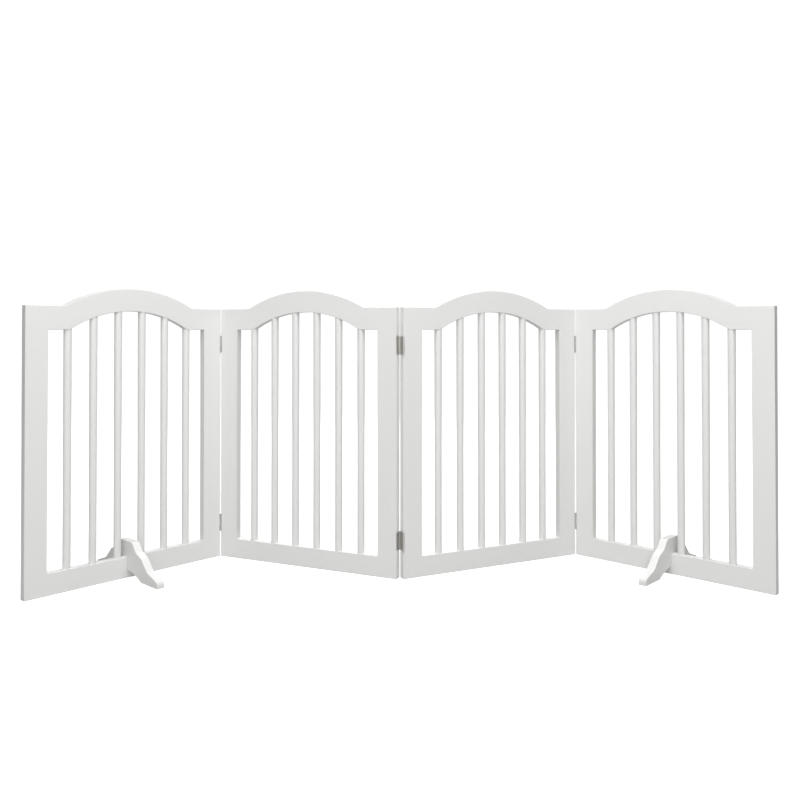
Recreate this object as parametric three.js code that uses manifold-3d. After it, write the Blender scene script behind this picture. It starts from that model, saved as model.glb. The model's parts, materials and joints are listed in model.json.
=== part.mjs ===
// Freestanding folding pet gate: four wooden panels, three pairs of double-acting hinges and
// two support feet. Millimetres, +Z up. The gate stands half folded, as in use, with its
// origin on the floor below the middle of its bounding box. Seen from the front (looking
// along +Y), panel 1 is on the left and panel 4 on the right.
import * as THREE from 'three';
import { mergeVertices } from 'three/addons/utils/BufferGeometryUtils.js';
import Module from 'manifold-3d';

const wasm = await Module();
wasm.setup();

// Driving dimensions.
const panelWidth = 446.7;
const gateHeight = 609.6;
const boardThickness = 16.7;
const boardArris = 1.2;
const stileWidth = 44.6;
const stileHeight = 571;
const bottomRailHeight = 44;
const topRailDepth = 47.7;
const archBandDepth = 47.4;
const outerArchRadius = 296;
const outerArchFillet = 25;
const innerArchRadius = 254;
const dowelCount = 6;
const dowelPitch = 54.4;
const dowelRadius = 7.9;
const dowelInsertion = 10;
const tenonLength = 14;
const tenonThickness = 7;
const tenonShoulder = 9;
const tenonRoot = 2;
const fitGap = 0.3;

// The gate's fold as it stands: how far each joint is turned from a straight line, in degrees.
const outerLeftFold = 70.62;
const centreFold = 49.89;
const outerRightFold = 68.3;
const secondPanelTurn = -24;

// Double-acting hinge: two leaves let into the stile edges and a link with a pin at each face.
const panelGap = 0.5;
const hingeHeight = 38;
const hingeCentres = { lower: 78, upper: 490 };
const pinStandOff = 0.3;
const pinRadius = 1;
const pinBoreRadius = 1.3;
const pinHeadRadius = 1.7;
const pinHeadHeight = 0.8;
const knuckleRadius = 2;
const knuckleClearance = 0.4;
const linkKnuckleHeight = 12.6;
const linkThickness = 1;
const leafThickness = 1;
const leafInnerFace = 1;
const leafFarMargin = 2.1;
const screwHoleRadius = 1.6;
const screwSpacing = 24;
const screwRowOffset = -0.5;

// Support foot: a saddle board that stands across the bottom rail in the middle of a panel.
const footHalfLength = 127;
const footCrownHeight = 77;
const footArchHalfWidth = 64;
const footArchHeight = 16.5;
const footSlotClearance = 0.5;

// Facets of the round surfaces, and how far a cut runs past the face that it opens.
const archSegments = 5;
const footSegments = 3;
const dowelSides = 16;
const hingeRodSides = 10;
const screwHoleSides = 8;
const cutOverrun = 1;

const lacquer = { color: 0xe9e9e6, roughness: 0.4, metalness: 0 };
const platedSteel = { color: 0xa8a8a6, roughness: 0.35, metalness: 0.9 };

const degrees = THREE.MathUtils.degToRad;
const jointOffset = (panelWidth + panelGap) / 2;
const pinOffset = boardThickness / 2 + pinStandOff;
const railLength = panelWidth - 2 * stileWidth;
const topRailUnderside = stileHeight - topRailDepth;

// --- Solids ---

function solidOf(geometry) {
  const bare = geometry.clone();
  bare.deleteAttribute('normal');
  bare.deleteAttribute('uv');
  const merged = mergeVertices(bare);
  return new wasm.Manifold(new wasm.Mesh({
    numProp: 3,
    vertProperties: new Float32Array(merged.attributes.position.array),
    triVerts: new Uint32Array(merged.index.array),
  }));
}

function geometryOf(solid) {
  const mesh = solid.getMesh();
  const geometry = new THREE.BufferGeometry();
  geometry.setAttribute('position', new THREE.BufferAttribute(mesh.vertProperties, 3));
  geometry.setIndex(new THREE.BufferAttribute(mesh.triVerts, 1));
  const faceted = geometry.toNonIndexed();
  faceted.computeVertexNormals();
  return faceted;
}

function block(low, high) {
  const size = high.map((value, axis) => value - low[axis]);
  const middle = high.map((value, axis) => (value + low[axis]) / 2);
  return solidOf(new THREE.BoxGeometry(...size).translate(...middle));
}

function uprightRod(radius, x, y, bottom, top, sides = dowelSides) {
  const rod = new THREE.CylinderGeometry(radius, radius, top - bottom, sides);
  return solidOf(rod.rotateX(Math.PI / 2).translate(x, y, (top + bottom) / 2));
}

// A board cut to an outline in X and Z, lying symmetrically about the plane y = 0.
function boardFrom(shape, thickness, curveSegments) {
  const board = new THREE.ExtrudeGeometry(shape, {
    depth: thickness, bevelEnabled: false, curveSegments,
  });
  return solidOf(board.rotateX(Math.PI / 2).translate(0, thickness / 2, 0));
}

// --- Outlines ---

// Draws straight lines from corner to corner, rounding each by its own radius.
function drawRoundedCorners(shape, corners) {
  corners.slice(1, -1).forEach(([x, y, radius], i) => {
    const corner = new THREE.Vector2(x, y);
    const before = new THREE.Vector2(...corners[i]).sub(corner).normalize();
    const after = new THREE.Vector2(...corners[i + 2]).sub(corner).normalize();
    const halfAngle = Math.acos(before.dot(after)) / 2;
    const bisector = before.clone().add(after).normalize();
    const centre = corner.clone().addScaledVector(bisector, radius / Math.sin(halfAngle));
    const reach = radius / Math.tan(halfAngle);
    const from = corner.clone().addScaledVector(before, reach).sub(centre);
    const to = corner.clone().addScaledVector(after, reach).sub(centre);
    shape.absarc(centre.x, centre.y, radius, from.angle(), to.angle(), from.cross(to) < 0);
  });
}

// The top rail: level ends that swell into an arch, with a concave fillet at each foot of it.
function topRailOutline() {
  const outerCentre = gateHeight - outerArchRadius;
  const innerCrown = gateHeight - archBandDepth;
  const innerCentre = innerCrown - innerArchRadius;
  const filletRise = stileHeight + outerArchFillet - outerCentre;
  const filletReach = outerArchRadius + outerArchFillet;
  const filletX = Math.sqrt(filletReach ** 2 - filletRise ** 2);
  const outerAngle = Math.atan2(filletRise, filletX);
  const innerAngle = Math.asin((topRailUnderside - innerCentre) / innerArchRadius);
  const end = railLength / 2 - fitGap;
  const shape = new THREE.Shape();
  shape.moveTo(end, topRailUnderside);
  shape.lineTo(end, stileHeight);
  shape.absarc(
    filletX, stileHeight + outerArchFillet, outerArchFillet,
    -Math.PI / 2, outerAngle - Math.PI, true,
  );
  shape.absarc(0, outerCentre, outerArchRadius, outerAngle, Math.PI - outerAngle, false);
  shape.absarc(
    -filletX, stileHeight + outerArchFillet, outerArchFillet,
    -outerAngle, -Math.PI / 2, true,
  );
  shape.lineTo(-end, stileHeight);
  shape.lineTo(-end, topRailUnderside);
  shape.absarc(0, innerCentre, innerArchRadius, Math.PI - innerAngle, innerAngle, true);
  shape.closePath();
  return shape;
}

// The foot: a level crown, two ogee arms that run down to blunt toes, and an arch below.
function footOutline() {
  const arm = [
    [footHalfLength, 12.9, 8],
    [87.8, 25.5, 30],
    [63.5, 49.8, 18],
    [42.7, 57.5, 8],
    [25.8, footCrownHeight, 12],
  ];
  const otherArm = arm.map(([x, z, radius]) => [-x, z, radius]).reverse();
  const archRadius = (footArchHalfWidth ** 2 + footArchHeight ** 2) / (2 * footArchHeight);
  const archAngle = Math.acos(footArchHalfWidth / archRadius);
  const shape = new THREE.Shape();
  shape.moveTo(footHalfLength, 0);
  drawRoundedCorners(shape, [[footHalfLength, 0], ...arm, ...otherArm, [-footHalfLength, 0]]);
  shape.lineTo(-footHalfLength, 0);
  shape.absarc(
    0, footArchHeight - archRadius, archRadius, Math.PI - archAngle, archAngle, true,
  );
  shape.closePath();
  return shape;
}

function stileOutline() {
  const x = stileWidth / 2;
  const y = boardThickness / 2;
  const r = boardArris;
  const corners = [[x, -y, r], [x, y, r], [-x, y, r], [-x, -y, r]];
  const shape = new THREE.Shape();
  drawRoundedCorners(shape, [corners[3], ...corners, corners[0]]);
  shape.closePath();
  return shape;
}

// --- Panels ---

const dowelPlaces = Array.from(
  { length: dowelCount },
  (_, i) => (i - (dowelCount - 1) / 2) * dowelPitch,
);

// Height of the top rail's underside at a distance x from the middle of the panel.
function undersideAt(x) {
  const innerCentre = gateHeight - archBandDepth - innerArchRadius;
  const arch = innerCentre + Math.sqrt(innerArchRadius ** 2 - x ** 2);
  return Math.max(topRailUnderside, arch);
}

// Tenons on both ends of a rail, or the mortises for them when grown by a gap.
function tenons(bottom, top, gap) {
  const half = railLength / 2;
  return [-1, 1].map((side) => {
    const inner = side * (half - (gap ? 0 : tenonRoot));
    const outer = side * (half + tenonLength + gap);
    return block(
      [Math.min(inner, outer), -tenonThickness / 2 - gap, bottom + tenonShoulder - gap],
      [Math.max(inner, outer), tenonThickness / 2 + gap, top - tenonShoulder + gap],
    );
  });
}

function topRail() {
  const socketDepth = dowelInsertion + fitGap;
  let rail = boardFrom(topRailOutline(), boardThickness, archSegments);
  tenons(topRailUnderside, stileHeight, 0).forEach((tenon) => {
    rail = rail.add(tenon);
  });
  dowelPlaces.forEach((x) => {
    const top = undersideAt(x) + socketDepth;
    const bottom = topRailUnderside - cutOverrun;
    rail = rail.subtract(uprightRod(dowelRadius + fitGap, x, 0, bottom, top));
  });
  return geometryOf(rail);
}

function bottomRail() {
  const end = railLength / 2 - fitGap;
  const face = boardThickness / 2;
  let rail = block([-end, -face, 0], [end, face, bottomRailHeight]);
  tenons(0, bottomRailHeight, 0).forEach((tenon) => {
    rail = rail.add(tenon);
  });
  dowelPlaces.forEach((x) => {
    const bottom = bottomRailHeight - dowelInsertion - fitGap;
    const top = bottomRailHeight + cutOverrun;
    rail = rail.subtract(uprightRod(dowelRadius + fitGap, x, 0, bottom, top));
  });
  return geometryOf(rail);
}

function dowel(x) {
  const bottom = bottomRailHeight - dowelInsertion;
  const top = undersideAt(x) + dowelInsertion;
  return geometryOf(uprightRod(dowelRadius, x, 0, bottom, top));
}

// The seat of one hinge in a stile edge: a shallow recess and room for both barrels.
function hingeSeat(edge, pinFace, height) {
  const gapMiddle = edge * jointOffset;
  const recessFloor = gapMiddle - edge * (leafInnerFace + leafThickness + fitGap);
  const half = hingeHeight / 2 + fitGap;
  const near = pinFace * (boardThickness / 2 + cutOverrun);
  const far = -pinFace * (boardThickness / 2 - leafFarMargin + fitGap);
  const recess = block(
    [Math.min(recessFloor, gapMiddle), Math.min(near, far), height - half],
    [Math.max(recessFloor, gapMiddle), Math.max(near, far), height + half],
  );
  const reach = half + pinHeadHeight + 2 * fitGap;
  const room = [-1, 1].map((face) => uprightRod(
    knuckleRadius + knuckleClearance, gapMiddle, face * pinOffset,
    height - reach, height + reach,
  ));
  return recess.add(room[0]).add(room[1]);
}

// edge is -1 for a panel's left stile and 1 for its right one. pinFace says which face that
// edge's leaves carry their pins on (1 back, -1 front), and is 0 on an edge with no hinges.
function stile(edge, pinFace) {
  const board = new THREE.ExtrudeGeometry(stileOutline(), {
    depth: stileHeight, bevelEnabled: false, curveSegments: 1,
  });
  let post = solidOf(board.translate(edge * (panelWidth - stileWidth) / 2, 0, 0));
  const mortises = [
    ...tenons(0, bottomRailHeight, fitGap),
    ...tenons(topRailUnderside, stileHeight, fitGap),
  ];
  mortises.forEach((mortise) => {
    post = post.subtract(mortise);
  });
  if (pinFace) {
    Object.values(hingeCentres).forEach((height) => {
      post = post.subtract(hingeSeat(edge, pinFace, height));
    });
  }
  return geometryOf(post);
}

// --- Hinges ---

// A leaf on the +X side of the gap with its pin at the back, centred on its own height.
function leaf() {
  const half = hingeHeight / 2;
  const farEnd = leafFarMargin - boardThickness / 2;
  let plate = block(
    [leafInnerFace, farEnd, -half],
    [leafInnerFace + leafThickness, pinOffset, half],
  );
  plate = plate.add(uprightRod(knuckleRadius, 0, pinOffset, -half, half, hingeRodSides));
  const linkRoom = linkKnuckleHeight / 2 + knuckleClearance;
  plate = plate.subtract(block(
    [-knuckleRadius, pinOffset - knuckleRadius - knuckleClearance, -linkRoom],
    [knuckleRadius + cutOverrun, pinOffset + knuckleRadius, linkRoom],
  ));
  plate = plate.subtract(
    uprightRod(pinBoreRadius, 0, pinOffset, -half - cutOverrun, half + cutOverrun, hingeRodSides),
  );
  [-1, 1].forEach((end) => {
    const hole = new THREE.CylinderGeometry(
      screwHoleRadius, screwHoleRadius, 4 * leafThickness, screwHoleSides,
    );
    hole.rotateZ(Math.PI / 2).translate(leafInnerFace, screwRowOffset, end * screwSpacing / 2);
    plate = plate.subtract(solidOf(hole));
  });
  return geometryOf(plate);
}

// The link between two leaves: a plate in the gap with a knuckle and a headed pin at each face.
function link() {
  const half = hingeHeight / 2;
  const knuckleHalf = linkKnuckleHeight / 2;
  const plateEnd = pinOffset - knuckleRadius - knuckleClearance;
  const face = linkThickness / 2;
  let body = block([-face, -plateEnd, -half], [face, plateEnd, half]);
  body = body.add(block([-face, -pinOffset, -knuckleHalf], [face, pinOffset, knuckleHalf]));
  [-1, 1].forEach((side) => {
    const headBottom = half + fitGap;
    const headTop = headBottom + pinHeadHeight;
    const rods = [
      [knuckleRadius, -knuckleHalf, knuckleHalf],
      [pinRadius, -headTop, headTop],
      [pinHeadRadius, headBottom, headTop],
      [pinHeadRadius, -headTop, -headBottom],
    ];
    rods.forEach(([radius, bottom, top]) => {
      const rod = uprightRod(radius, 0, side * pinOffset, bottom, top, hingeRodSides);
      body = body.add(rod);
    });
  });
  return geometryOf(body);
}

function foot() {
  const slot = boardThickness / 2 + footSlotClearance;
  const board = boardFrom(footOutline(), boardThickness, footSegments);
  const roof = bottomRailHeight + footSlotClearance;
  const cut = block([-slot, -boardThickness, -cutOverrun], [slot, boardThickness, roof]);
  return geometryOf(board.subtract(cut));
}

// --- Assembly ---

function named(name, geometry, finish) {
  const mesh = new THREE.Mesh(geometry, new THREE.MeshStandardMaterial(finish));
  mesh.name = name;
  return mesh;
}

// A panel about its own middle. leftPin and rightPin are the pinFace of its two edges.
function panel(number, leftPin, rightPin) {
  const group = new THREE.Group();
  const prefix = `panel_${number}`;
  group.add(named(`${prefix}_left_stile`, stile(-1, leftPin), lacquer));
  group.add(named(`${prefix}_right_stile`, stile(1, rightPin), lacquer));
  group.add(named(`${prefix}_top_rail`, topRail(), lacquer));
  group.add(named(`${prefix}_bottom_rail`, bottomRail(), lacquer));
  dowelPlaces.forEach((x, i) => {
    group.add(named(`${prefix}_dowel_${i + 1}`, dowel(x), lacquer));
  });
  return group;
}

const leafTurns = {
  right: { back: [0, 0, 0], front: [Math.PI, 0, 0] },
  left: { back: [0, Math.PI, 0], front: [0, 0, Math.PI] },
};

function addLeaves(group, prefix, owner, x, side, face) {
  Object.entries(hingeCentres).forEach(([place, height]) => {
    const mesh = named(`${prefix}_${place}_leaf_on_panel_${owner}`, leaf(), platedSteel);
    mesh.position.set(x, 0, height);
    mesh.rotation.set(...leafTurns[side][face]);
    group.add(mesh);
  });
}

// Hangs the next panel on one edge of its parent. The link turns on the parent's back pins,
// and the next panel turns on the link's front pins. edge is 1 for the parent's right edge.
function hangPanel(parent, parentNumber, child, childNumber, edge, backTurn, frontTurn) {
  const pair = [parentNumber, childNumber].sort().join('');
  const prefix = `hinge_${pair}`;
  const [parentSide, childSide] = edge > 0 ? ['left', 'right'] : ['right', 'left'];
  addLeaves(parent, prefix, parentNumber, edge * jointOffset, parentSide, 'back');
  addLeaves(child, prefix, childNumber, -edge * jointOffset, childSide, 'front');
  const backPin = new THREE.Group();
  backPin.position.set(edge * jointOffset, pinOffset, 0);
  backPin.rotation.z = degrees(backTurn);
  Object.entries(hingeCentres).forEach(([place, height]) => {
    const mesh = named(`${prefix}_${place}_link`, link(), platedSteel);
    mesh.position.set(0, -pinOffset, height);
    backPin.add(mesh);
  });
  const frontPin = new THREE.Group();
  frontPin.position.set(0, -2 * pinOffset, 0);
  frontPin.rotation.z = degrees(frontTurn);
  child.position.set(edge * jointOffset, pinOffset, 0);
  frontPin.add(child);
  backPin.add(frontPin);
  parent.add(backPin);
}

function addFoot(group, name) {
  const mesh = named(name, foot(), lacquer);
  mesh.rotation.z = Math.PI / 2;
  group.add(mesh);
}

const panels = [
  panel(1, 0, -1),
  panel(2, 1, 1),
  panel(3, -1, 1),
  panel(4, -1, 0),
];
hangPanel(panels[1], 2, panels[0], 1, -1, 0, outerLeftFold);
hangPanel(panels[1], 2, panels[2], 3, 1, centreFold, 0);
hangPanel(panels[2], 3, panels[3], 4, 1, 0, -outerRightFold);
addFoot(panels[0], 'left_foot');
addFoot(panels[3], 'right_foot');
panels[1].rotation.z = degrees(secondPanelTurn);

const gate = new THREE.Group();
gate.add(panels[1]);
const extent = new THREE.Box3().setFromObject(gate, true);
const middle = extent.getCenter(new THREE.Vector3());
panels[1].position.set(-middle.x, -middle.y, 0);

export default gate;
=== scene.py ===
import json
import math
import bmesh
import bpy
from mathutils import Matrix, Vector

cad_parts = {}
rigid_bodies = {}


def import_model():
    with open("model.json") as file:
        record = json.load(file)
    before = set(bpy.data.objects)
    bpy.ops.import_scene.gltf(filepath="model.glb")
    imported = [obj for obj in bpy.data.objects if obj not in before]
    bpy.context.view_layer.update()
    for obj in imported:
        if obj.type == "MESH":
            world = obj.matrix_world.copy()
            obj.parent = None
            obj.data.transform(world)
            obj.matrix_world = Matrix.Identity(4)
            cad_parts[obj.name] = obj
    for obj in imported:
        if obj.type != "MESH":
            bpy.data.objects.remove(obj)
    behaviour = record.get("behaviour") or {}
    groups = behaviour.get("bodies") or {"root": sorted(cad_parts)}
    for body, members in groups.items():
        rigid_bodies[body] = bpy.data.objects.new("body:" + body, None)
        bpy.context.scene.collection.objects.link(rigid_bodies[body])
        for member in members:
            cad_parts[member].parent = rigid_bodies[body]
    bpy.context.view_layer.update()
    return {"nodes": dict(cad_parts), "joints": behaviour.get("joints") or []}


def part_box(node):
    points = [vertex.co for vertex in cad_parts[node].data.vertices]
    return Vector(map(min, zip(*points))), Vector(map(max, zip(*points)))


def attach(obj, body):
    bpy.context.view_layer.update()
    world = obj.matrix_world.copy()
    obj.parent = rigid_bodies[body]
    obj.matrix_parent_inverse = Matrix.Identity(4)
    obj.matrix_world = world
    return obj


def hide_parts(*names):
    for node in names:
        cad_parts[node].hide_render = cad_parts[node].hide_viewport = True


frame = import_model()
scene = bpy.context.scene
nodes = frame["nodes"]
pinPlace = {joint["name"]: Vector(joint["pos_m"]) for joint in frame["joints"] if "pos_m" in joint}
mm = 0.001
print("frame loaded:", len(nodes), "CAD nodes")


# the view: square on to the gate, from a little below its top
cameraView = {
    "lensMm": 37.14,  # a little wider than normal, from about 1.75 m
    "distance": 1.7513,  # in front of the centre joint
    "height": 0.5196,  # about 50 mm below the tops of the stiles
    "sideStep": 0.0003,
    "tiltUpDeg": 0.736,
    "shiftY": -0.0989,  # brings the gate up towards the middle of a square picture
}


def placeCamera():
    data = bpy.data.cameras.new("studioCamera")
    data.lens = cameraView["lensMm"]
    data.shift_y = cameraView["shiftY"]
    data.clip_start = 0.02
    camera = bpy.data.objects.new("studioCamera", data)
    centre = pinPlace["hinge_23_back_pin"]
    camera.location = (
        centre.x + cameraView["sideStep"],
        centre.y - cameraView["distance"],
        cameraView["height"],
    )
    camera.rotation_euler = (math.radians(90 + cameraView["tiltUpDeg"]), 0, 0)
    scene.collection.objects.link(camera)
    scene.camera = camera


placeCamera()
print("camera placed")


# sRGB hex to the linear colour that the sockets take
def hexColour(code):
    channels = [int(code[i:i + 2], 16) / 255 for i in (0, 2, 4)]
    linear = [c / 12.92 if c <= 0.04045 else ((c + 0.055) / 1.055) ** 2.4 for c in channels]
    return (*linear, 1.0)


# adds one node: settings are properties or socket values, links are socket name -> output socket
def addNode(tree, kind, settings=None, links=None):
    node = tree.nodes.new(kind)
    for name, value in (settings or {}).items():
        if isinstance(name, int) or name in node.inputs:
            node.inputs[name].default_value = value
        else:
            setattr(node, name, value)
    for name, output in (links or {}).items():
        tree.links.new(output, node.inputs[name])
    return node


def newMaterial(name):
    material = bpy.data.materials.new(name)
    material.use_nodes = True
    material.node_tree.nodes.clear()
    return material, material.node_tree


lacquerLook = {
    "colour": "E6E6E5",
    "thinColour": "DCDAD5",  # the wood just shows where the lacquer thins on an arris
    "roughness": 0.36,
    "roughnessSpread": 0.10,
    "cloudMm": 71.4,  # patches where the spray lies wetter or drier
    "orangePeelMm": 1.6,  # droplet size of a hand sprayed finish
    "peelReliefMm": 0.05,
    "ringWidthMm": 3.2,  # growth ring spacing of plantation pine
    "grainLengthMm": 90,
    "ringReliefMm": 0.05,
    "ringTone": 0.12,  # how far a ring's tone goes towards the thin colour
    "arrisTone": 0.55,  # and how far an arris's does
    "sandingMm": 0.45,  # 220 grit scratches, drawn coarse enough to show
    "sandingReliefMm": 0.02,
    "sandingStretch": 25,  # how many times longer a scratch is than wide
}


# sprayed satin lacquer on pine: an even milky white, with the wood's rings only just standing
# through it as soft ridges, and a droplet texture that breaks up its highlights
def makeSprayedLacquerOnPine():
    look = lacquerLook
    material, tree = newMaterial("sprayedSatinLacquerOnPine")
    place = addNode(tree, "ShaderNodeAttribute", {"attribute_name": "boardPlace"})
    arris = addNode(tree, "ShaderNodeAttribute", {"attribute_name": "arris"})
    perRing = 1 / (look["ringWidthMm"] * mm)
    perLength = 1 / (look["grainLengthMm"] * mm)
    stretched = addNode(
        tree, "ShaderNodeVectorMath",
        {"operation": "MULTIPLY"}, {0: place.outputs["Vector"]},
    )
    stretched.inputs[1].default_value = (perLength, perRing, perRing)
    rings = addNode(
        tree, "ShaderNodeTexNoise",
        {"Scale": 1.0, "Detail": 3.0, "Roughness": 0.55, "Distortion": 0.6},
        {"Vector": stretched.outputs["Vector"]},
    )
    scratches = addNode(
        tree, "ShaderNodeVectorMath",
        {"operation": "MULTIPLY"}, {0: place.outputs["Vector"]},
    )
    perScratch = 1 / (look["sandingMm"] * mm)
    alongScratch = perScratch / look["sandingStretch"]
    scratches.inputs[1].default_value = (alongScratch, perScratch, perScratch)
    sanding = addNode(
        tree, "ShaderNodeTexNoise", {"Scale": 1.0, "Detail": 2.0},
        {"Vector": scratches.outputs["Vector"]},
    )
    peel = addNode(
        tree, "ShaderNodeTexNoise",
        {"Scale": 1 / (look["orangePeelMm"] * mm), "Detail": 2.0, "Roughness": 0.4},
        {"Vector": place.outputs["Vector"]},
    )
    cloud = addNode(
        tree, "ShaderNodeTexNoise", {"Scale": 1 / (look["cloudMm"] * mm), "Detail": 3.0},
        {"Vector": place.outputs["Vector"]},
    )
    thin = addNode(
        tree, "ShaderNodeMath", {"operation": "MULTIPLY", 1: look["arrisTone"]},
        {0: arris.outputs["Fac"]},
    )
    ringTone = addNode(
        tree, "ShaderNodeMapRange",
        {"From Min": 0.35, "From Max": 0.7, "To Min": 0.0, "To Max": look["ringTone"]},
        {"Value": rings.outputs["Fac"]},
    )
    share = addNode(
        tree, "ShaderNodeMath", {"operation": "ADD", "use_clamp": True},
        {0: thin.outputs[0], 1: ringTone.outputs[0]},
    )
    colour = addNode(
        tree, "ShaderNodeMix", {"data_type": "RGBA"}, {0: share.outputs[0]},
    )
    colour.inputs[6].default_value = hexColour(look["colour"])
    colour.inputs[7].default_value = hexColour(look["thinColour"])
    roughness = addNode(
        tree, "ShaderNodeMapRange",
        {
            "From Min": 0.3, "From Max": 0.7,
            "To Min": look["roughness"] - look["roughnessSpread"] / 2,
            "To Max": look["roughness"] + look["roughnessSpread"] / 2,
        },
        {"Value": cloud.outputs["Fac"]},
    )
    grainBump = addNode(
        tree, "ShaderNodeBump", {"Strength": 0.22, "Distance": look["ringReliefMm"] * mm},
        {"Height": rings.outputs["Fac"]},
    )
    sandBump = addNode(
        tree, "ShaderNodeBump", {"Strength": 0.25, "Distance": look["sandingReliefMm"] * mm},
        {"Height": sanding.outputs["Fac"], "Normal": grainBump.outputs["Normal"]},
    )
    peelBump = addNode(
        tree, "ShaderNodeBump", {"Strength": 0.4, "Distance": look["peelReliefMm"] * mm},
        {"Height": peel.outputs["Fac"], "Normal": sandBump.outputs["Normal"]},
    )
    shader = addNode(
        tree, "ShaderNodeBsdfPrincipled",
        {"IOR": 1.5, "Metallic": 0.0, "Coat Weight": 0.12, "Coat Roughness": 0.28},
        {
            "Base Color": colour.outputs[2],
            "Roughness": roughness.outputs[0],
            "Normal": peelBump.outputs["Normal"],
        },
    )
    addNode(tree, "ShaderNodeOutputMaterial", None, {"Surface": shader.outputs[0]})
    return material


hingeSteelLook = {
    "colour": "DAD9D6",
    "tarnish": "B4B2AE",
    "roughness": 0.42,
    "roughnessSpread": 0.16,
    "rollingMm": 0.35,  # rolling lines of the strip, drawn coarser than real
    "rollingStretch": 40,  # how many times longer a line is than wide
    "rollingReliefMm": 0.01,
    "spotMm": 2.5,
}


# nickel plated pressed steel: a light satin grey with fine rolling lines, duller in spots
def makeNickelPlatedPressedSteel():
    look = hingeSteelLook
    material, tree = newMaterial("nickelPlatedPressedSteel")
    place = addNode(tree, "ShaderNodeAttribute", {"attribute_name": "boardPlace"})
    arris = addNode(tree, "ShaderNodeAttribute", {"attribute_name": "arris"})
    stretched = addNode(
        tree, "ShaderNodeVectorMath", {"operation": "MULTIPLY"}, {0: place.outputs["Vector"]},
    )
    perLine = 1 / (look["rollingMm"] * mm)
    stretched.inputs[1].default_value = (perLine / look["rollingStretch"], perLine, perLine)
    lines = addNode(
        tree, "ShaderNodeTexNoise", {"Scale": 1.0, "Detail": 2.0},
        {"Vector": stretched.outputs["Vector"]},
    )
    spots = addNode(
        tree, "ShaderNodeTexNoise",
        {"Scale": 1 / (look["spotMm"] * mm), "Detail": 4.0, "Roughness": 0.6},
        {"Vector": place.outputs["Vector"]},
    )
    dulling = addNode(
        tree, "ShaderNodeMapRange",
        {"From Min": 0.5, "From Max": 0.75, "To Min": 0.0, "To Max": 0.6},
        {"Value": spots.outputs["Fac"]},
    )
    kept = addNode(
        tree, "ShaderNodeMath", {"operation": "SUBTRACT", "use_clamp": True},
        {0: dulling.outputs[0], 1: arris.outputs["Fac"]},
    )
    colour = addNode(
        tree, "ShaderNodeMix", {"data_type": "RGBA"}, {0: kept.outputs[0]},
    )
    colour.inputs[6].default_value = hexColour(look["colour"])
    colour.inputs[7].default_value = hexColour(look["tarnish"])
    roughness = addNode(
        tree, "ShaderNodeMapRange",
        {
            "From Min": 0.3, "From Max": 0.7,
            "To Min": look["roughness"] - look["roughnessSpread"] / 2,
            "To Max": look["roughness"] + look["roughnessSpread"] / 2,
        },
        {"Value": spots.outputs["Fac"]},
    )
    bump = addNode(
        tree, "ShaderNodeBump", {"Strength": 0.3, "Distance": look["rollingReliefMm"] * mm},
        {"Height": lines.outputs["Fac"]},
    )
    shader = addNode(
        tree, "ShaderNodeBsdfPrincipled", {"Metallic": 1.0},
        {
            "Base Color": colour.outputs[2],
            "Roughness": roughness.outputs[0],
            "Normal": bump.outputs["Normal"],
        },
    )
    addNode(tree, "ShaderNodeOutputMaterial", None, {"Surface": shader.outputs[0]})
    return material


screwLook = {
    "colour": "C3C5C8",
    "smut": "6E6C68",
    "roughness": 0.34,
    "roughnessSpread": 0.2,
    "spotMm": 0.8,
    "turningMm": 0.12,  # ridges left by the heading and turning, coarser than real
    "turningReliefMm": 0.01,
}


# zinc plated steel screws: a slightly bluish grey, clouded by darker smut in spots
def makeZincPlatedScrewSteel():
    look = screwLook
    material, tree = newMaterial("zincPlatedScrewSteel")
    place = addNode(tree, "ShaderNodeAttribute", {"attribute_name": "boardPlace"})
    spots = addNode(
        tree, "ShaderNodeTexNoise", {"Scale": 1 / (look["spotMm"] * mm), "Detail": 3.0},
        {"Vector": place.outputs["Vector"]},
    )
    share = addNode(
        tree, "ShaderNodeMapRange",
        {"From Min": 0.45, "From Max": 0.8, "To Min": 0.0, "To Max": 0.5},
        {"Value": spots.outputs["Fac"]},
    )
    colour = addNode(
        tree, "ShaderNodeMix", {"data_type": "RGBA"}, {0: share.outputs[0]},
    )
    colour.inputs[6].default_value = hexColour(look["colour"])
    colour.inputs[7].default_value = hexColour(look["smut"])
    roughness = addNode(
        tree, "ShaderNodeMapRange",
        {
            "From Min": 0.3, "From Max": 0.7,
            "To Min": look["roughness"] - look["roughnessSpread"] / 2,
            "To Max": look["roughness"] + look["roughnessSpread"] / 2,
        },
        {"Value": spots.outputs["Fac"]},
    )
    turning = addNode(
        tree, "ShaderNodeTexNoise", {"Scale": 1 / (look["turningMm"] * mm), "Detail": 1.0},
        {"Vector": place.outputs["Vector"]},
    )
    bump = addNode(
        tree, "ShaderNodeBump", {"Strength": 0.2, "Distance": look["turningReliefMm"] * mm},
        {"Height": turning.outputs["Fac"]},
    )
    shader = addNode(
        tree, "ShaderNodeBsdfPrincipled", {"Metallic": 1.0},
        {
            "Base Color": colour.outputs[2],
            "Roughness": roughness.outputs[0],
            "Normal": bump.outputs["Normal"],
        },
    )
    addNode(tree, "ShaderNodeOutputMaterial", None, {"Surface": shader.outputs[0]})
    return material


sprayedLacquerOnPine = makeSprayedLacquerOnPine()
nickelPlatedPressedSteel = makeNickelPlatedPressedSteel()
zincPlatedScrewSteel = makeZincPlatedScrewSteel()
print("materials made")


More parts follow.
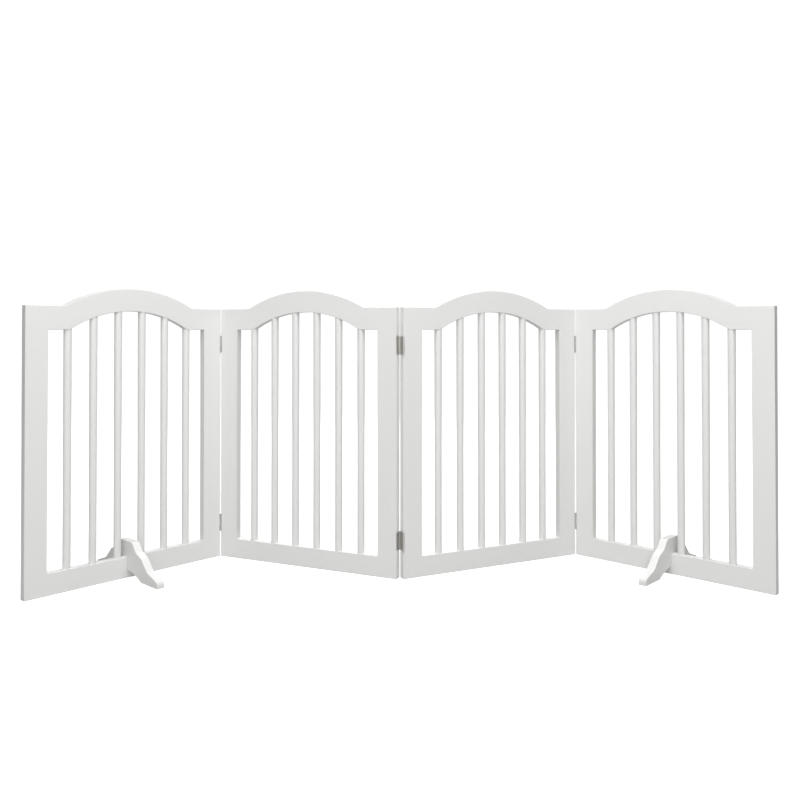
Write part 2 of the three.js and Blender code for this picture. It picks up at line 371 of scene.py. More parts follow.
# closed rings of (x, y, z, arris) with equal counts, joined in order and capped at both ends
def meshFromRings(name, rings):
    mesh = bmesh.new()
    arrisLayer = mesh.verts.layers.float.new("arris")
    loops = []
    for ring in rings:
        loop = []
        for x, y, z, arris in ring:
            vertex = mesh.verts.new((x, y, z))
            vertex[arrisLayer] = arris
            loop.append(vertex)
        loops.append(loop)
    for lower, upper in zip(loops, loops[1:]):
        for i in range(len(lower)):
            j = (i + 1) % len(lower)
            mesh.faces.new((lower[i], lower[j], upper[j], upper[i]))
    mesh.faces.new(list(reversed(loops[0])))
    mesh.faces.new(loops[-1])
    bmesh.ops.recalc_face_normals(mesh, faces=mesh.faces)
    data = bpy.data.meshes.new(name)
    mesh.to_mesh(data)
    mesh.free()
    return data


# rows of (inset from the edge, depth below the face, arris) round an eased edge
def easedRows(radius, steps):
    rows = []
    for i in range(steps + 1):
        angle = math.pi / 2 * i / steps
        rows.append((
            radius * (1 - math.sin(angle)),
            radius * (1 - math.cos(angle)),
            math.sin(2 * angle),
        ))
    return rows


# an outline's points moved in from its edges by easing[i] * depth on the edge after point i
def insetOutline(points, easing, depth):
    straight = 0.02  # a smaller turn than this, in radians, is taken as none
    moved = []
    count = len(points)
    for i, point in enumerate(points):
        before = (point - points[i - 1]).normalized()
        after = (points[(i + 1) % count] - point).normalized()
        inBefore = Vector((-before.y, before.x))
        inAfter = Vector((-after.y, after.x))
        depthBefore = easing[i - 1] * depth
        depthAfter = easing[i] * depth
        turn = inBefore.x * inAfter.y - inBefore.y * inAfter.x
        if abs(turn) < straight:
            moved.append(point + (inBefore + inAfter).normalized() * max(depthBefore, depthAfter))
        else:
            x = (depthBefore * inAfter.y - depthAfter * inBefore.y) / turn
            y = (depthAfter * inBefore.x - depthBefore * inAfter.x) / turn
            moved.append(point + Vector((x, y)))
    return moved


# a board with its outline in X and Z, anticlockwise, and its two faces at -Y and +Y.
# easing[i] is 1 where the edge after point i is rounded over and 0 where it stays square
def boardFromOutline(name, points, easing, thickness, radius, steps=5):
    rows = easedRows(radius, steps)
    rings = []
    for side, ordered in ((-1, rows), (1, list(reversed(rows)))):
        for inset, depth, arris in ordered:
            outline = insetOutline(points, easing, inset)
            y = side * (thickness / 2 - depth)
            rings.append([(p.x, y, p.y, arris) for p in outline])
    return meshFromRings(name, rings)


def prism(name, points, low, high):
    return meshFromRings(name, [[(p[0], p[1], z, 0.0) for p in points] for z in (low, high)])


# turned shape about the Z axis through (x, y), from rows of (radius, z)
def turned(name, rows, x=0.0, y=0.0, sides=48):
    rings = []
    for radius, z in rows:
        rings.append([
            (
                x + radius * math.cos(2 * math.pi * i / sides),
                y + radius * math.sin(2 * math.pi * i / sides),
                z, 0.0,
            )
            for i in range(sides)
        ])
    return meshFromRings(name, rings)


def block(name, low, high):
    corners = [(low[0], low[1]), (high[0], low[1]), (high[0], high[1]), (low[0], high[1])]
    return prism(name, corners, low[2], high[2])


def arcPoints(centre, radius, fromAngle, toAngle, steps):
    return [
        Vector((
            centre[0] + radius * math.cos(fromAngle + (toAngle - fromAngle) * i / steps),
            centre[1] + radius * math.sin(fromAngle + (toAngle - fromAngle) * i / steps),
        ))
        for i in range(steps + 1)
    ]


# rounds the corner between its two neighbours
def roundedCorner(before, corner, after, radius, steps):
    toBefore = (before - corner).normalized()
    toAfter = (after - corner).normalized()
    halfAngle = toBefore.angle(toAfter) / 2
    centre = corner + (toBefore + toAfter).normalized() * (radius / math.sin(halfAngle))
    start = corner + toBefore * (radius / math.tan(halfAngle)) - centre
    end = corner + toAfter * (radius / math.tan(halfAngle)) - centre
    fromAngle = math.atan2(start.y, start.x)
    sweep = math.atan2(start.x * end.y - start.y * end.x, start.dot(end))
    return arcPoints(centre, radius, fromAngle, fromAngle + sweep, steps)


def joinedMesh(name, parts):
    mesh = bmesh.new()
    for part in parts:
        mesh.from_mesh(part)
    data = bpy.data.meshes.new(name)
    mesh.to_mesh(data)
    mesh.free()
    return data


# cuts or adds one closed mesh, which may be several overlapping solids
def carved(mesh, tool, operation="DIFFERENCE"):
    base = bpy.data.objects.new("base", mesh)
    cutter = bpy.data.objects.new("cutter", tool)
    scene.collection.objects.link(base)
    scene.collection.objects.link(cutter)
    modifier = base.modifiers.new("carve", "BOOLEAN")
    modifier.operation = operation
    modifier.object = cutter
    modifier.solver = "EXACT"
    modifier.use_self = True
    evaluated = base.evaluated_get(bpy.context.evaluated_depsgraph_get())
    result = bpy.data.meshes.new_from_object(evaluated)
    bpy.data.objects.remove(base)
    bpy.data.objects.remove(cutter)
    return result


pieceFinish = {
    "creaseDeg": 38,  # an edge that bends more stays crisp in the shading
    "bevelFromDeg": 35,
    "bevelSteps": 2,
    "patternDrift": (0.0137, 0.0311, 0.0071),  # no two pieces are cut from the same grain
}


# puts a finished mesh in its place and on its body. alongAxes gives the mesh's axis that runs
# along the grain, then the two across it, which is what the patterns follow
def placePiece(name, mesh, place, alongAxes, material, body, replaced=None, bevel=0.0):
    mesh = mesh.copy()
    layer = mesh.attributes.new("boardPlace", "FLOAT_VECTOR", "POINT")
    seed = sum(ord(letter) * (i + 3) for i, letter in enumerate(name)) % 997
    drift = Vector([seed * step for step in pieceFinish["patternDrift"]])
    for i, vertex in enumerate(mesh.vertices):
        layer.data[i].vector = Vector(vertex.co[axis] for axis in alongAxes) + drift
    mesh.transform(place)
    mesh.polygons.foreach_set("use_smooth", [True] * len(mesh.polygons))
    mesh.set_sharp_from_angle(angle=math.radians(pieceFinish["creaseDeg"]))
    mesh.materials.clear()
    mesh.materials.append(material)
    mesh.name = name
    piece = bpy.data.objects.new(name, mesh)
    scene.collection.objects.link(piece)
    if bevel:
        rounding = piece.modifiers.new("brokenEdges", "BEVEL")
        rounding.width = bevel
        rounding.segments = pieceFinish["bevelSteps"]
        rounding.limit_method = "ANGLE"
        rounding.angle_limit = math.radians(pieceFinish["bevelFromDeg"])
    shading = piece.modifiers.new("flatFaces", "WEIGHTED_NORMAL")
    shading.keep_sharp = True
    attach(piece, body)
    if replaced:
        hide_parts(replaced)
    return piece


def boxMiddle(node):
    low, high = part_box(node)
    return (low + high) / 2


# a panel's own frame: X along it, Y through it to the back, Z up, origin on the floor mid-width
def panelFrame(number):
    left = boxMiddle(f"panel_{number}_left_stile")
    right = boxMiddle(f"panel_{number}_right_stile")
    middle = (left + right) / 2
    run = right - left
    turn = Matrix.Rotation(math.atan2(run.y, run.x), 4, "Z")
    return Matrix.Translation((middle.x, middle.y, 0)) @ turn


panelFrames = {number: panelFrame(number) for number in (1, 2, 3, 4)}


# lowest and highest corner of a CAD node in its own panel's frame
def boxInPanel(node, number):
    back = panelFrames[number].inverted()
    points = [back @ vertex.co for vertex in nodes[node].data.vertices]
    low = Vector(min(p[axis] for p in points) for axis in range(3))
    high = Vector(max(p[axis] for p in points) for axis in range(3))
    return low, high


stileLow, stileHigh = boxInPanel("panel_1_left_stile", 1)
crownLow, crownHigh = boxInPanel("panel_1_top_rail", 1)
thickness = stileHigh.y - stileLow.y
panelHalf = -stileLow.x
openingHalf = -stileHigh.x
stileTop = stileHigh.z
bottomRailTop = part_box("panel_1_bottom_rail")[1].z
crownTop = crownHigh.z
topRailUnderside = crownLow.z
print("panel", round(2 * panelHalf / mm, 1), "x", round(crownTop / mm, 1), "mm")


# the three joints, with the panels to the left and right of each
hingePairs = {"12": (1, 2), "23": (2, 3), "34": (3, 4)}
hingeLeaf = boxInPanel("hinge_12_lower_leaf_on_panel_1", 1)
hingeHalf = (hingeLeaf[1].z - hingeLeaf[0].z) / 2
hingeHeights = {
    place: boxMiddle(f"hinge_12_{place}_leaf_on_panel_1").z for place in ("lower", "upper")
}
pinOffset = (pinPlace["hinge_12_back_pin"] - pinPlace["hinge_12_front_pin"]).length / 2
jointOffset = (panelFrames[1].inverted() @ pinPlace["hinge_12_front_pin"]).x


# the panel whose leaves carry the pins at the given face of a joint
def pinOwner(pair, face):
    joint = next(j for j in frame["joints"] if j["name"] == f"hinge_{pair}_{face}_pin")
    body = next(b for b in (joint["parent"], joint["child"]) if b.startswith("panel_"))
    return int(body[-1])


# (panel, edge) -> face that its leaves' pins are on: 1 back, -1 front. edge: -1 left, 1 right
pinFaces = {}
for pair, (leftPanel, rightPanel) in hingePairs.items():
    for face, sign in (("back", 1), ("front", -1)):
        owner = pinOwner(pair, face)
        pinFaces[(owner, 1 if owner == leftPanel else -1)] = sign
print("hinged edges:", pinFaces)


stileShape = {
    "arris": 1.2,  # broken by the sander, mm
    "arrisSteps": 5,
    "leastArris": 0.05,  # what is left of it at the very end of an eased corner
    "seatGap": 0.3,  # slack round a leaf in its recess
    "seatDepth": 2.05,
    "seatOverrun": 1.0,  # how far the cutter stands out of the wood
    "seatMargin": 2.1,  # wood left at the face away from the pin
    "barrelRoom": 2.4,  # radius cleared round each barrel
    "barrelEnds": 1.4,  # and past its ends
}


# one level ring: inner edge at openingHalf, outer edge at panelHalf. endInset is how far an
# eased end has drawn the ring in, and intoRail how far below or above the opening it lies
def stileRing(z, endInset, intoRail):
    radius = stileShape["arris"] * mm
    rows = easedRows(radius, stileShape["arrisSteps"])
    face = thickness / 2 - endInset
    inner = []
    for inset, depth, arris in reversed(rows):
        if inset < intoRail:
            rest = max(radius - intoRail, 0.0)
            depth = radius - math.sqrt(radius * radius - rest * rest)
            arris = arris * rest / radius
        inner.append((openingHalf + inset, face - depth, z, arris))
    corner = max(radius - endInset, stileShape["leastArris"] * mm)
    outer = []
    for inset, depth, arris in easedRows(corner, stileShape["arrisSteps"]):
        outer.append((panelHalf - endInset - inset, face - depth, z, arris))
    back = inner + outer
    front = [(x, -y, z, arris) for x, y, z, arris in reversed(back)]
    return back + front


def hingeSeat(edge, pinFace, height):
    shape = stileShape
    gapX = edge * jointOffset
    floorX = edge * (panelHalf - shape["seatDepth"] * mm)
    seatHalf = hingeHalf + shape["seatGap"] * mm
    near = pinFace * (thickness / 2 + shape["seatOverrun"] * mm)
    far = -pinFace * (thickness / 2 - (shape["seatMargin"] - shape["seatGap"]) * mm)
    recess = block(
        "seat",
        (min(floorX, gapX), min(near, far), height - seatHalf),
        (max(floorX, gapX), max(near, far), height + seatHalf),
    )
    reach = seatHalf + shape["barrelEnds"] * mm
    room = shape["barrelRoom"] * mm
    barrels = [
        turned("room", [(room, height - reach), (room, height + reach)], gapX, side * pinOffset)
        for side in (-1, 1)
    ]
    return [recess] + barrels


def makeStile(edge, pinFace):
    radius = stileShape["arris"] * mm
    steps = stileShape["arrisSteps"]
    ends = [(depth, inset) for inset, depth, arris in easedRows(radius, steps)]
    mitre = [radius * i / steps for i in range(steps + 1)]
    rings = [stileRing(z, inset, radius) for z, inset in ends]
    rings += [stileRing(bottomRailTop - below, 0.0, below) for below in reversed(mitre)]
    rings += [stileRing(topRailUnderside + above, 0.0, above) for above in mitre]
    rings += [stileRing(stileTop - z, inset, radius) for z, inset in reversed(ends)]
    if edge < 0:
        rings = [[(-x, y, z, arris) for x, y, z, arris in ring] for ring in rings]
    mesh = meshFromRings("stile", rings)
    if pinFace:
        seats = []
        for height in hingeHeights.values():
            seats += hingeSeat(edge, pinFace, height)
        mesh = carved(mesh, joinedMesh("seats", seats))
    return mesh


for number in panelFrames:
    for edge, side in ((-1, "left"), (1, "right")):
        placePiece(
            f"panel{number}{side.capitalize()}Stile",
            makeStile(edge, pinFaces.get((number, edge), 0)),
            panelFrames[number], (2, 0, 1), sprayedLacquerOnPine,
            f"panel_{number}", f"panel_{number}_{side}_stile",
        )
print("stiles made")


railShape = {
    "arris": 1.2,
    "glueLine": 0.02,
    "outerArch": 296.0,  # radius of the top rail's upper edge
    "archFillet": 25.0,  # hollow where the arch rises from the level ends
    "innerArch": 254.0,  # radius of its lower edge
    "bandDepth": 47.4,  # depth of the arch at its crown
    "arcSteps": 64,
    "filletSteps": 10,
}
dowelShape = {
    "count": 6,
    "insertion": 10.0,
    "socketSlack": 0.03,
    "socketEnd": 0.2,  # room for glue at the end of a socket
    "socketOverrun": 5.0,  # how far the cutter stands out of the rail
    "endChamfer": 1.0,
    "swell": 0.08,  # how much a sanded dowel's radius wanders
    "stations": 12,
    "sides": 48,
}
dowelMiddles = [boxInPanel(f"panel_1_dowel_{i + 1}", 1) for i in range(dowelShape["count"])]
dowelPlaces = [(low.x + high.x) / 2 for low, high in dowelMiddles]
dowelRadius = (dowelMiddles[0][1].x - dowelMiddles[0][0].x) / 2


def undersideAt(x):
    radius = railShape["innerArch"] * mm
    centre = crownTop - railShape["bandDepth"] * mm - radius
    return max(topRailUnderside, centre + math.sqrt(radius * radius - x * x))


def sockets(low, high):
    radius = dowelRadius + dowelShape["socketSlack"] * mm
    return joinedMesh("sockets", [
        turned("socket", [(radius, low(x)), (radius, high(x))], x, sides=64) for x in dowelPlaces
    ])


# level ends that swell into an arch, with a hollow at each foot of it
def makeTopRail():
    shape = railShape
    end = openingHalf - shape["glueLine"] * mm
    outer = shape["outerArch"] * mm
    inner = shape["innerArch"] * mm
    fillet = shape["archFillet"] * mm
    steps = shape["arcSteps"]
    bend = shape["filletSteps"]
    outerCentre = crownTop - outer
    innerCentre = crownTop - shape["bandDepth"] * mm - inner
    rise = stileTop + fillet - outerCentre
    filletX = math.sqrt((outer + fillet) ** 2 - rise ** 2)
    outerAngle = math.atan2(rise, filletX)
    innerAngle = math.asin((topRailUnderside - innerCentre) / inner)
    half = math.pi / 2
    points = [Vector((end, topRailUnderside)), Vector((end, stileTop))]
    points += arcPoints((filletX, stileTop + fillet), fillet, -half, outerAngle - math.pi, bend)
    points += arcPoints((0, outerCentre), outer, outerAngle, math.pi - outerAngle, steps)[1:]
    points += arcPoints((-filletX, stileTop + fillet), fillet, -outerAngle, -half, bend)[1:]
    leftEnd = len(points)
    points += [Vector((-end, stileTop)), Vector((-end, topRailUnderside))]
    points += arcPoints((0, innerCentre), inner, math.pi - innerAngle, innerAngle, steps)
    easing = [1.0] * len(points)
    easing[0] = 0.0
    easing[leftEnd] = 0.0
    mesh = boardFromOutline("topRail", points, easing, thickness, shape["arris"] * mm)
    depth = (dowelShape["insertion"] + dowelShape["socketEnd"]) * mm
    low = topRailUnderside - dowelShape["socketOverrun"] * mm
    return carved(mesh, sockets(lambda x: low, lambda x: undersideAt(x) + depth))


def makeBottomRail():
    end = openingHalf - railShape["glueLine"] * mm
    points = [
        Vector((-end, 0)), Vector((end, 0)),
        Vector((end, bottomRailTop)), Vector((-end, bottomRailTop)),
    ]
    radius = railShape["arris"] * mm
    mesh = boardFromOutline("bottomRail", points, [1.0, 0.0, 1.0, 0.0], thickness, radius)
    low = bottomRailTop - (dowelShape["insertion"] + dowelShape["socketEnd"]) * mm
    high = bottomRailTop + dowelShape["socketOverrun"] * mm
    return carved(mesh, sockets(lambda x: low, lambda x: high))


topRailMesh = makeTopRail()
bottomRailMesh = makeBottomRail()
for number in panelFrames:
    for part, mesh in (("top", topRailMesh), ("bottom", bottomRailMesh)):
        placePiece(
            f"panel{number}{part.capitalize()}Rail", mesh,
            panelFrames[number], (0, 2, 1), sprayedLacquerOnPine,
            f"panel_{number}", f"panel_{number}_{part}_rail",
        )
print("rails made")


# a sanded bar, very slightly uneven along its length
def makeDowel(x, number):
    chamfer = dowelShape["endChamfer"] * mm
    low = bottomRailTop - dowelShape["insertion"] * mm
    high = undersideAt(x) + dowelShape["insertion"] * mm
    rows = [(dowelRadius - chamfer, low), (dowelRadius, low + chamfer)]
    stations = dowelShape["stations"]
    for i in range(1, stations):
        z = low + (high - low) * i / stations
        swell = 0.5 + 0.5 * math.sin(i * 1.7 + number * 2.3)  # never the same run twice
        rows.append((dowelRadius - dowelShape["swell"] * mm * swell, z))
    rows += [(dowelRadius, high - chamfer), (dowelRadius - chamfer, high)]
    return turned("dowel", rows, x, sides=dowelShape["sides"])


for number in panelFrames:
    for i, x in enumerate(dowelPlaces):
        placePiece(
            f"panel{number}Dowel{i + 1}", makeDowel(x, number * 6 + i),
            panelFrames[number], (2, 0, 1), sprayedLacquerOnPine,
            f"panel_{number}", f"panel_{number}_dowel_{i + 1}",
        )
print("dowels made")


footShape = {
    "arris": 0.9,
    # corners of one arm, from above its toe up to the crown: out, up, rounding
    "arm": [(127.0, 12.9, 8.0), (87.8, 25.5, 30.0), (63.5, 49.8, 18.0),
            (42.7, 57.5, 8.0), (25.8, 77.0, 12.0)],
    "archHalfWidth": 64.0,
    "archHeight": 16.5,
    "slotSlack": 0.5,
    "slotEasing": 0.25,  # the slot's edges are rounded only a quarter as much
    "cornerSteps": 10,
    "archSteps": 20,
}


def makeFoot():
    shape = footShape
    toe = shape["arm"][0][0] * mm
    steps = shape["archSteps"]
    arm = [(Vector((x, z)) * mm, radius * mm) for x, z, radius in shape["arm"]]
    mirrored = [(Vector((-p.x, p.y)), radius) for p, radius in reversed(arm)]
    corners = [(Vector((toe, 0)), 0)] + arm + mirrored + [(Vector((-toe, 0)), 0)]
    archHalf = shape["archHalfWidth"] * mm
    archHeight = shape["archHeight"] * mm
    archRadius = (archHalf ** 2 + archHeight ** 2) / (2 * archHeight)
    archCentre = archHeight - archRadius
    slotHalf = thickness / 2 + shape["slotSlack"] * mm
    slotTop = bottomRailTop + shape["slotSlack"] * mm
    footAngle = math.acos(archHalf / archRadius)
    slotAngle = math.acos(slotHalf / archRadius)
    points = [corners[0][0]]
    for before, corner, after in zip(corners, corners[1:], corners[2:]):
        points += roundedCorner(before[0], corner[0], after[0], corner[1], shape["cornerSteps"])
    points.append(corners[-1][0])
    points += arcPoints(
        (0, archCentre), archRadius, math.pi - footAngle, math.pi - slotAngle, steps,
    )
    slotStart = len(points) - 1
    points += [Vector((-slotHalf, slotTop)), Vector((slotHalf, slotTop))]
    points += arcPoints((0, archCentre), archRadius, slotAngle, footAngle, steps)
    easing = [1.0] * len(points)
    for i in range(slotStart, slotStart + 3):
        easing[i] = shape["slotEasing"]
    return boardFromOutline("foot", points, easing, thickness, shape["arris"] * mm)


footMesh = makeFoot()
acrossPanel = Matrix.Rotation(math.pi / 2, 4, "Z")
for side, number in (("left", 1), ("right", 4)):
    placePiece(
        f"{side}FootBoard", footMesh, panelFrames[number] @ acrossPanel,
        (0, 2, 1), sprayedLacquerOnPine, f"{side}_foot", f"{side}_foot",
    )
print("feet made")


hingeShape = {
    "sheet": 1.0,  # thickness of the pressed strip
    "leafInnerFace": 1.0,  # from the middle of the gap
    "barrel": 1.96,
    "bore": 1.04,
    "pin": 1.0,
    "pinHead": 1.7,
    "pinHeadHeight": 0.8,
    "pinHeadTop": 0.1,  # radius of the little flat at the top of its dome
    "headGap": 0.3,
    "curlDeg": 290,  # how far a leaf's end is rolled round its pin
    "linkKnuckle": 12.6,
    "slack": 0.4,
    "screwSpacing": 24.0,
    "screwRow": -0.5,
    "brokenEdge": 0.12,
    "holeOverrun": 0.2,  # how far a drill stands out of the strip
    "curlSteps": 40,
    "boreSteps": 36,
    "holeSides": 40,
    "pinSides": 32,
    "domeSteps": 5,
}
screwShape = {
    "head": 2.05,
    "rim": 0.12,  # flat edge of the head
    "dome": 0.02,  # the head's face falls this much from its flat middle to its rim
    "flatShare": 0.55,  # and the middle takes this share of its radius
    "shank": 1.15,
    "shankPast": 0.2,  # length that shows past the strip
    "sunk": 0.06,
    "recessLength": 2.2,
    "recessWidth": 0.5,
    "recessDepth": 0.45,
    "recessTaper": (0.45, 0.6),  # shares of its length and width left at its foot
    "recessOverrun": 0.1,
    "seat": 0.08,
    "sides": 40,
}


def alongX(mesh):
    mesh.transform(Matrix.Rotation(math.pi / 2, 4, "Y"))
    return mesh


def screwPlace(end):
    shape = hingeShape
    across = end * shape["screwSpacing"] / 2
    return Vector((shape["leafInnerFace"], shape["screwRow"], across)) * mm


# a leaf on the +X side of the gap with its pin at the back, about its own mid-height
def makeLeaf():
    shape = hingeShape
    inner = shape["leafInnerFace"] * mm
    outer = inner + shape["sheet"] * mm
    barrel = shape["barrel"] * mm
    bore = shape["bore"] * mm
    far = -(thickness / 2 - stileShape["seatMargin"] * mm)
    curl = math.radians(shape["curlDeg"])
    boreStart = -math.acos(min(inner / bore, 1.0))
    pin = (0.0, pinOffset)
    points = [Vector((inner, far)), Vector((outer, far))]
    points += arcPoints(pin, barrel, 0, curl, shape["curlSteps"])
    points += arcPoints(pin, bore, curl, boreStart, shape["boreSteps"])
    leaf = prism("leaf", points, -hingeHalf, hingeHalf)
    roomHalf = (shape["linkKnuckle"] / 2 + shape["slack"]) * mm
    room = block(
        "linkRoom",
        (-2 * barrel, pinOffset - barrel - shape["slack"] * mm, -roomHalf),
        (2 * barrel, pinOffset + 2 * barrel, roomHalf),
    )
    cutters = [room]
    head = (screwShape["head"] + screwShape["seat"]) * mm
    shank = (screwShape["shank"] + screwShape["seat"]) * mm
    overrun = shape["holeOverrun"] * mm
    for end in (-1, 1):
        hole = alongX(turned("hole", [
            (head + overrun, -overrun),
            (shank, head - shank),
            (shank, shape["sheet"] * mm + overrun),
        ], sides=shape["holeSides"]))
        hole.transform(Matrix.Translation(screwPlace(end)))
        cutters.append(hole)
    return carved(leaf, joinedMesh("leafCuts", cutters))


# the link stands in the gap, with a knuckle and a headed pin at each face
def makeLink():
    shape = hingeShape
    half = shape["sheet"] / 2 * mm
    barrel = shape["barrel"] * mm
    knuckleHalf = shape["linkKnuckle"] / 2 * mm
    neck = math.asin(half / barrel)
    quarter = math.pi / 2
    steps = shape["boreSteps"]
    points = arcPoints((0, pinOffset), barrel, -quarter + neck, 3 * quarter - neck, steps)
    points += arcPoints((0, -pinOffset), barrel, quarter + neck, 5 * quarter - neck, steps)
    tongue = prism("tongue", points, -knuckleHalf, knuckleHalf)
    plateEnd = pinOffset - barrel - shape["slack"] * mm
    plate = block("plate", (-half, -plateEnd, -hingeHalf), (half, plateEnd, hingeHalf))
    shoulder = hingeHalf + shape["headGap"] * mm
    headTop = shape["pinHeadHeight"] * mm
    head = shape["pinHead"] * mm
    angles = [quarter * i / shape["domeSteps"] for i in range(shape["domeSteps"])]
    dome = [(head * math.cos(a), shoulder + headTop * math.sin(a)) for a in angles]
    dome.append((shape["pinHeadTop"] * mm, shoulder + headTop))
    rows = [(r, -z) for r, z in reversed(dome)]
    rows += [(shape["pin"] * mm, -shoulder), (shape["pin"] * mm, shoulder)]
    rows += dome
    mesh = carved(tongue, plate, "UNION")
    for side in (-1, 1):
        pin = turned("pin", rows, 0.0, side * pinOffset, shape["pinSides"])
        mesh = carved(mesh, pin, "UNION")
    return mesh


# countersunk cross-recess screw, its head's face at x = 0 towards -X
def makeScrew():
    shape = screwShape
    head = shape["head"] * mm
    shank = shape["shank"] * mm
    rim = shape["rim"] * mm
    sheet = hingeShape["sheet"] * mm
    mesh = turned("screw", [
        (head * shape["flatShare"], 0.0),
        (head - rim, shape["dome"] * mm),
        (head, rim),
        (shank, head - shank + rim),
        (shank, sheet + shape["shankPast"] * mm),
    ], sides=shape["sides"])
    length = shape["recessLength"] / 2 * mm
    width = shape["recessWidth"] / 2 * mm
    depth = shape["recessDepth"] * mm
    above = -shape["recessOverrun"] * mm
    footLength = length * shape["recessTaper"][0]
    footWidth = width * shape["recessTaper"][1]
    for across in (False, True):
        top = (width, length) if across else (length, width)
        foot = (footWidth, footLength) if across else (footLength, footWidth)
        wedge = meshFromRings("recess", [
            [(sx * w, sy * h, z, 0.0) for sx, sy in ((-1, -1), (1, -1), (1, 1), (-1, 1))]
            for (w, h), z in ((top, above), (foot, depth))
        ])
        mesh = carved(mesh, wedge)
    return alongX(mesh)


leafMesh = makeLeaf()
linkMesh = makeLink()
screwMesh = makeScrew()

# turns a leaf from the +X side with its pin at the back to the other three places
leafTurns = {
    (-1, 1): Matrix.Identity(4),
    (-1, -1): Matrix.Rotation(math.pi, 4, "X"),
    (1, 1): Matrix.Rotation(math.pi, 4, "Y"),
    (1, -1): Matrix.Rotation(math.pi, 4, "Z"),
}

for pair, panelsOfPair in hingePairs.items():
    back = pinPlace[f"hinge_{pair}_back_pin"]
    front = pinPlace[f"hinge_{pair}_front_pin"]
    run = back - front
    linkTurn = Matrix.Rotation(math.atan2(run.y, run.x) - math.pi / 2, 4, "Z")
    for place, height in hingeHeights.items():
        middle = (back + front) / 2
        placePiece(
            f"hinge{pair}{place.capitalize()}Link", linkMesh,
            Matrix.Translation((middle.x, middle.y, height)) @ linkTurn, (2, 0, 1),
            nickelPlatedPressedSteel, f"hinge_link_{pair}",
            f"hinge_{pair}_{place}_link", hingeShape["brokenEdge"] * mm,
        )
        for number, edge in zip(panelsOfPair, (1, -1)):
            turn = leafTurns[(edge, pinFaces[(number, edge)])]
            gapMiddle = Matrix.Translation((edge * jointOffset, 0, height))
            leafPlace = panelFrames[number] @ gapMiddle @ turn
            placePiece(
                f"hinge{pair}{place.capitalize()}LeafPanel{number}", leafMesh, leafPlace,
                (2, 0, 1), nickelPlatedPressedSteel, f"panel_{number}",
                f"hinge_{pair}_{place}_leaf_on_panel_{number}", hingeShape["brokenEdge"] * mm,
            )
            for end in (-1, 1):
                sunk = screwPlace(end) + Vector((screwShape["sunk"] * mm, 0, 0))
                # each screw was driven home to its own angle
                driven = Matrix.Rotation(0.7 * end + number + len(place) * 0.3, 4, "X")
                placePiece(
                    f"hinge{pair}{place.capitalize()}Screw{(end + 3) // 2}Panel{number}",
                    screwMesh, leafPlace @ Matrix.Translation(sunk) @ driven, (0, 1, 2),
                    zincPlatedScrewSteel, f"panel_{number}",
                )
print("hinges made")


floorLook = {
    "colour": "B8B8B7",
    "grainMm": 6,  # roller texture, drawn coarse enough to show
    "grainReliefMm": 0.1,
    "size": 40.0,
    "drop": 0.0002,  # just under the gate, so that the two never share a face
    "wash": 1.0,  # light of its own that only the camera sees, which keeps the ground white
}


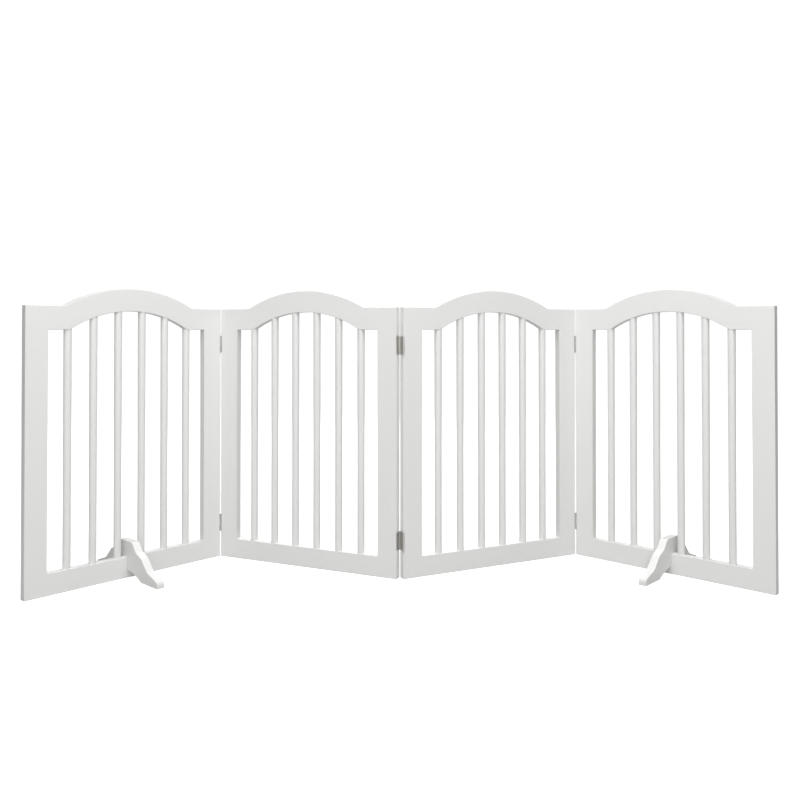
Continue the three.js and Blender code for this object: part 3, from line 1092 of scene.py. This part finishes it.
# matte painted studio floor: even and white to the camera, light grey to the gate
def makeFloor():
    material, tree = newMaterial("mattePaintedStudioFloor")
    place = addNode(tree, "ShaderNodeTexCoord")
    grain = addNode(
        tree, "ShaderNodeTexNoise", {"Scale": 1 / (floorLook["grainMm"] * mm), "Detail": 2.0},
        {"Vector": place.outputs["Object"]},
    )
    bump = addNode(
        tree, "ShaderNodeBump", {"Strength": 0.1, "Distance": floorLook["grainReliefMm"] * mm},
        {"Height": grain.outputs["Fac"]},
    )
    paint = addNode(
        tree, "ShaderNodeBsdfDiffuse", {"Color": hexColour(floorLook["colour"])},
        {"Normal": bump.outputs["Normal"]},
    )
    glow = addNode(
        tree, "ShaderNodeEmission", {"Color": (1, 1, 1, 1), "Strength": floorLook["wash"]},
    )
    both = addNode(tree, "ShaderNodeAddShader", None, {0: paint.outputs[0], 1: glow.outputs[0]})
    ray = addNode(tree, "ShaderNodeLightPath")
    seen = addNode(
        tree, "ShaderNodeMixShader", None,
        {0: ray.outputs["Is Camera Ray"], 1: paint.outputs[0], 2: both.outputs[0]},
    )
    addNode(tree, "ShaderNodeOutputMaterial", None, {"Surface": seen.outputs[0]})
    half = floorLook["size"] / 2
    data = bpy.data.meshes.new("studioFloor")
    corners = [(-half, -half, 0), (half, -half, 0), (half, half, 0), (-half, half, 0)]
    data.from_pydata(corners, [], [(0, 1, 2, 3)])
    data.materials.append(material)
    floor = bpy.data.objects.new("studioFloor", data)
    floor.location.z = -floorLook["drop"]
    scene.collection.objects.link(floor)


lightSetup = {
    "room": 0.21,  # grey of the room round the set
    "sweep": 1.05,  # brightness of the white sweep behind the gate
    "overhead": {"place": (0.0, -0.9, 2.4), "aim": (0.0, 0.0, 0.3), "size": 1.8, "watts": 57},
    "camera": {"place": (0.0, -2.6, 1.1), "aim": (0.0, 0.0, 0.35), "size": 0.9, "watts": 20},
    "behind": {"place": (0.0, 2.6, 1.7), "aim": (0.0, 0.0, 0.35), "size": 1.6, "watts": 42},
}


def addSoftbox(name):
    setting = lightSetup[name]
    data = bpy.data.lights.new(f"{name}Softbox", "AREA")
    data.shape = "SQUARE"
    data.size = setting["size"]
    data.energy = setting["watts"]
    lamp = bpy.data.objects.new(f"{name}Softbox", data)
    lamp.location = setting["place"]
    aim = Vector(setting["aim"]) - Vector(setting["place"])
    lamp.rotation_euler = aim.to_track_quat("-Z", "Y").to_euler()
    scene.collection.objects.link(lamp)


# the camera sees a white sweep; the gate is lit by a dimmer room
def makeRoom():
    world = bpy.data.worlds.new("studioRoom")
    world.use_nodes = True
    tree = world.node_tree
    tree.nodes.clear()
    room = addNode(
        tree, "ShaderNodeBackground", {"Color": (1, 1, 1, 1), "Strength": lightSetup["room"]},
    )
    sweep = addNode(
        tree, "ShaderNodeBackground", {"Color": (1, 1, 1, 1), "Strength": lightSetup["sweep"]},
    )
    ray = addNode(tree, "ShaderNodeLightPath")
    seen = addNode(
        tree, "ShaderNodeMixShader", None,
        {0: ray.outputs["Is Camera Ray"], 1: room.outputs[0], 2: sweep.outputs[0]},
    )
    addNode(tree, "ShaderNodeOutputWorld", None, {"Surface": seen.outputs[0]})
    scene.world = world


makeFloor()
makeRoom()
addSoftbox("overhead")
addSoftbox("camera")
addSoftbox("behind")
scene.view_settings.view_transform = "Standard"
scene.view_settings.look = "None"
print("floor and light made")
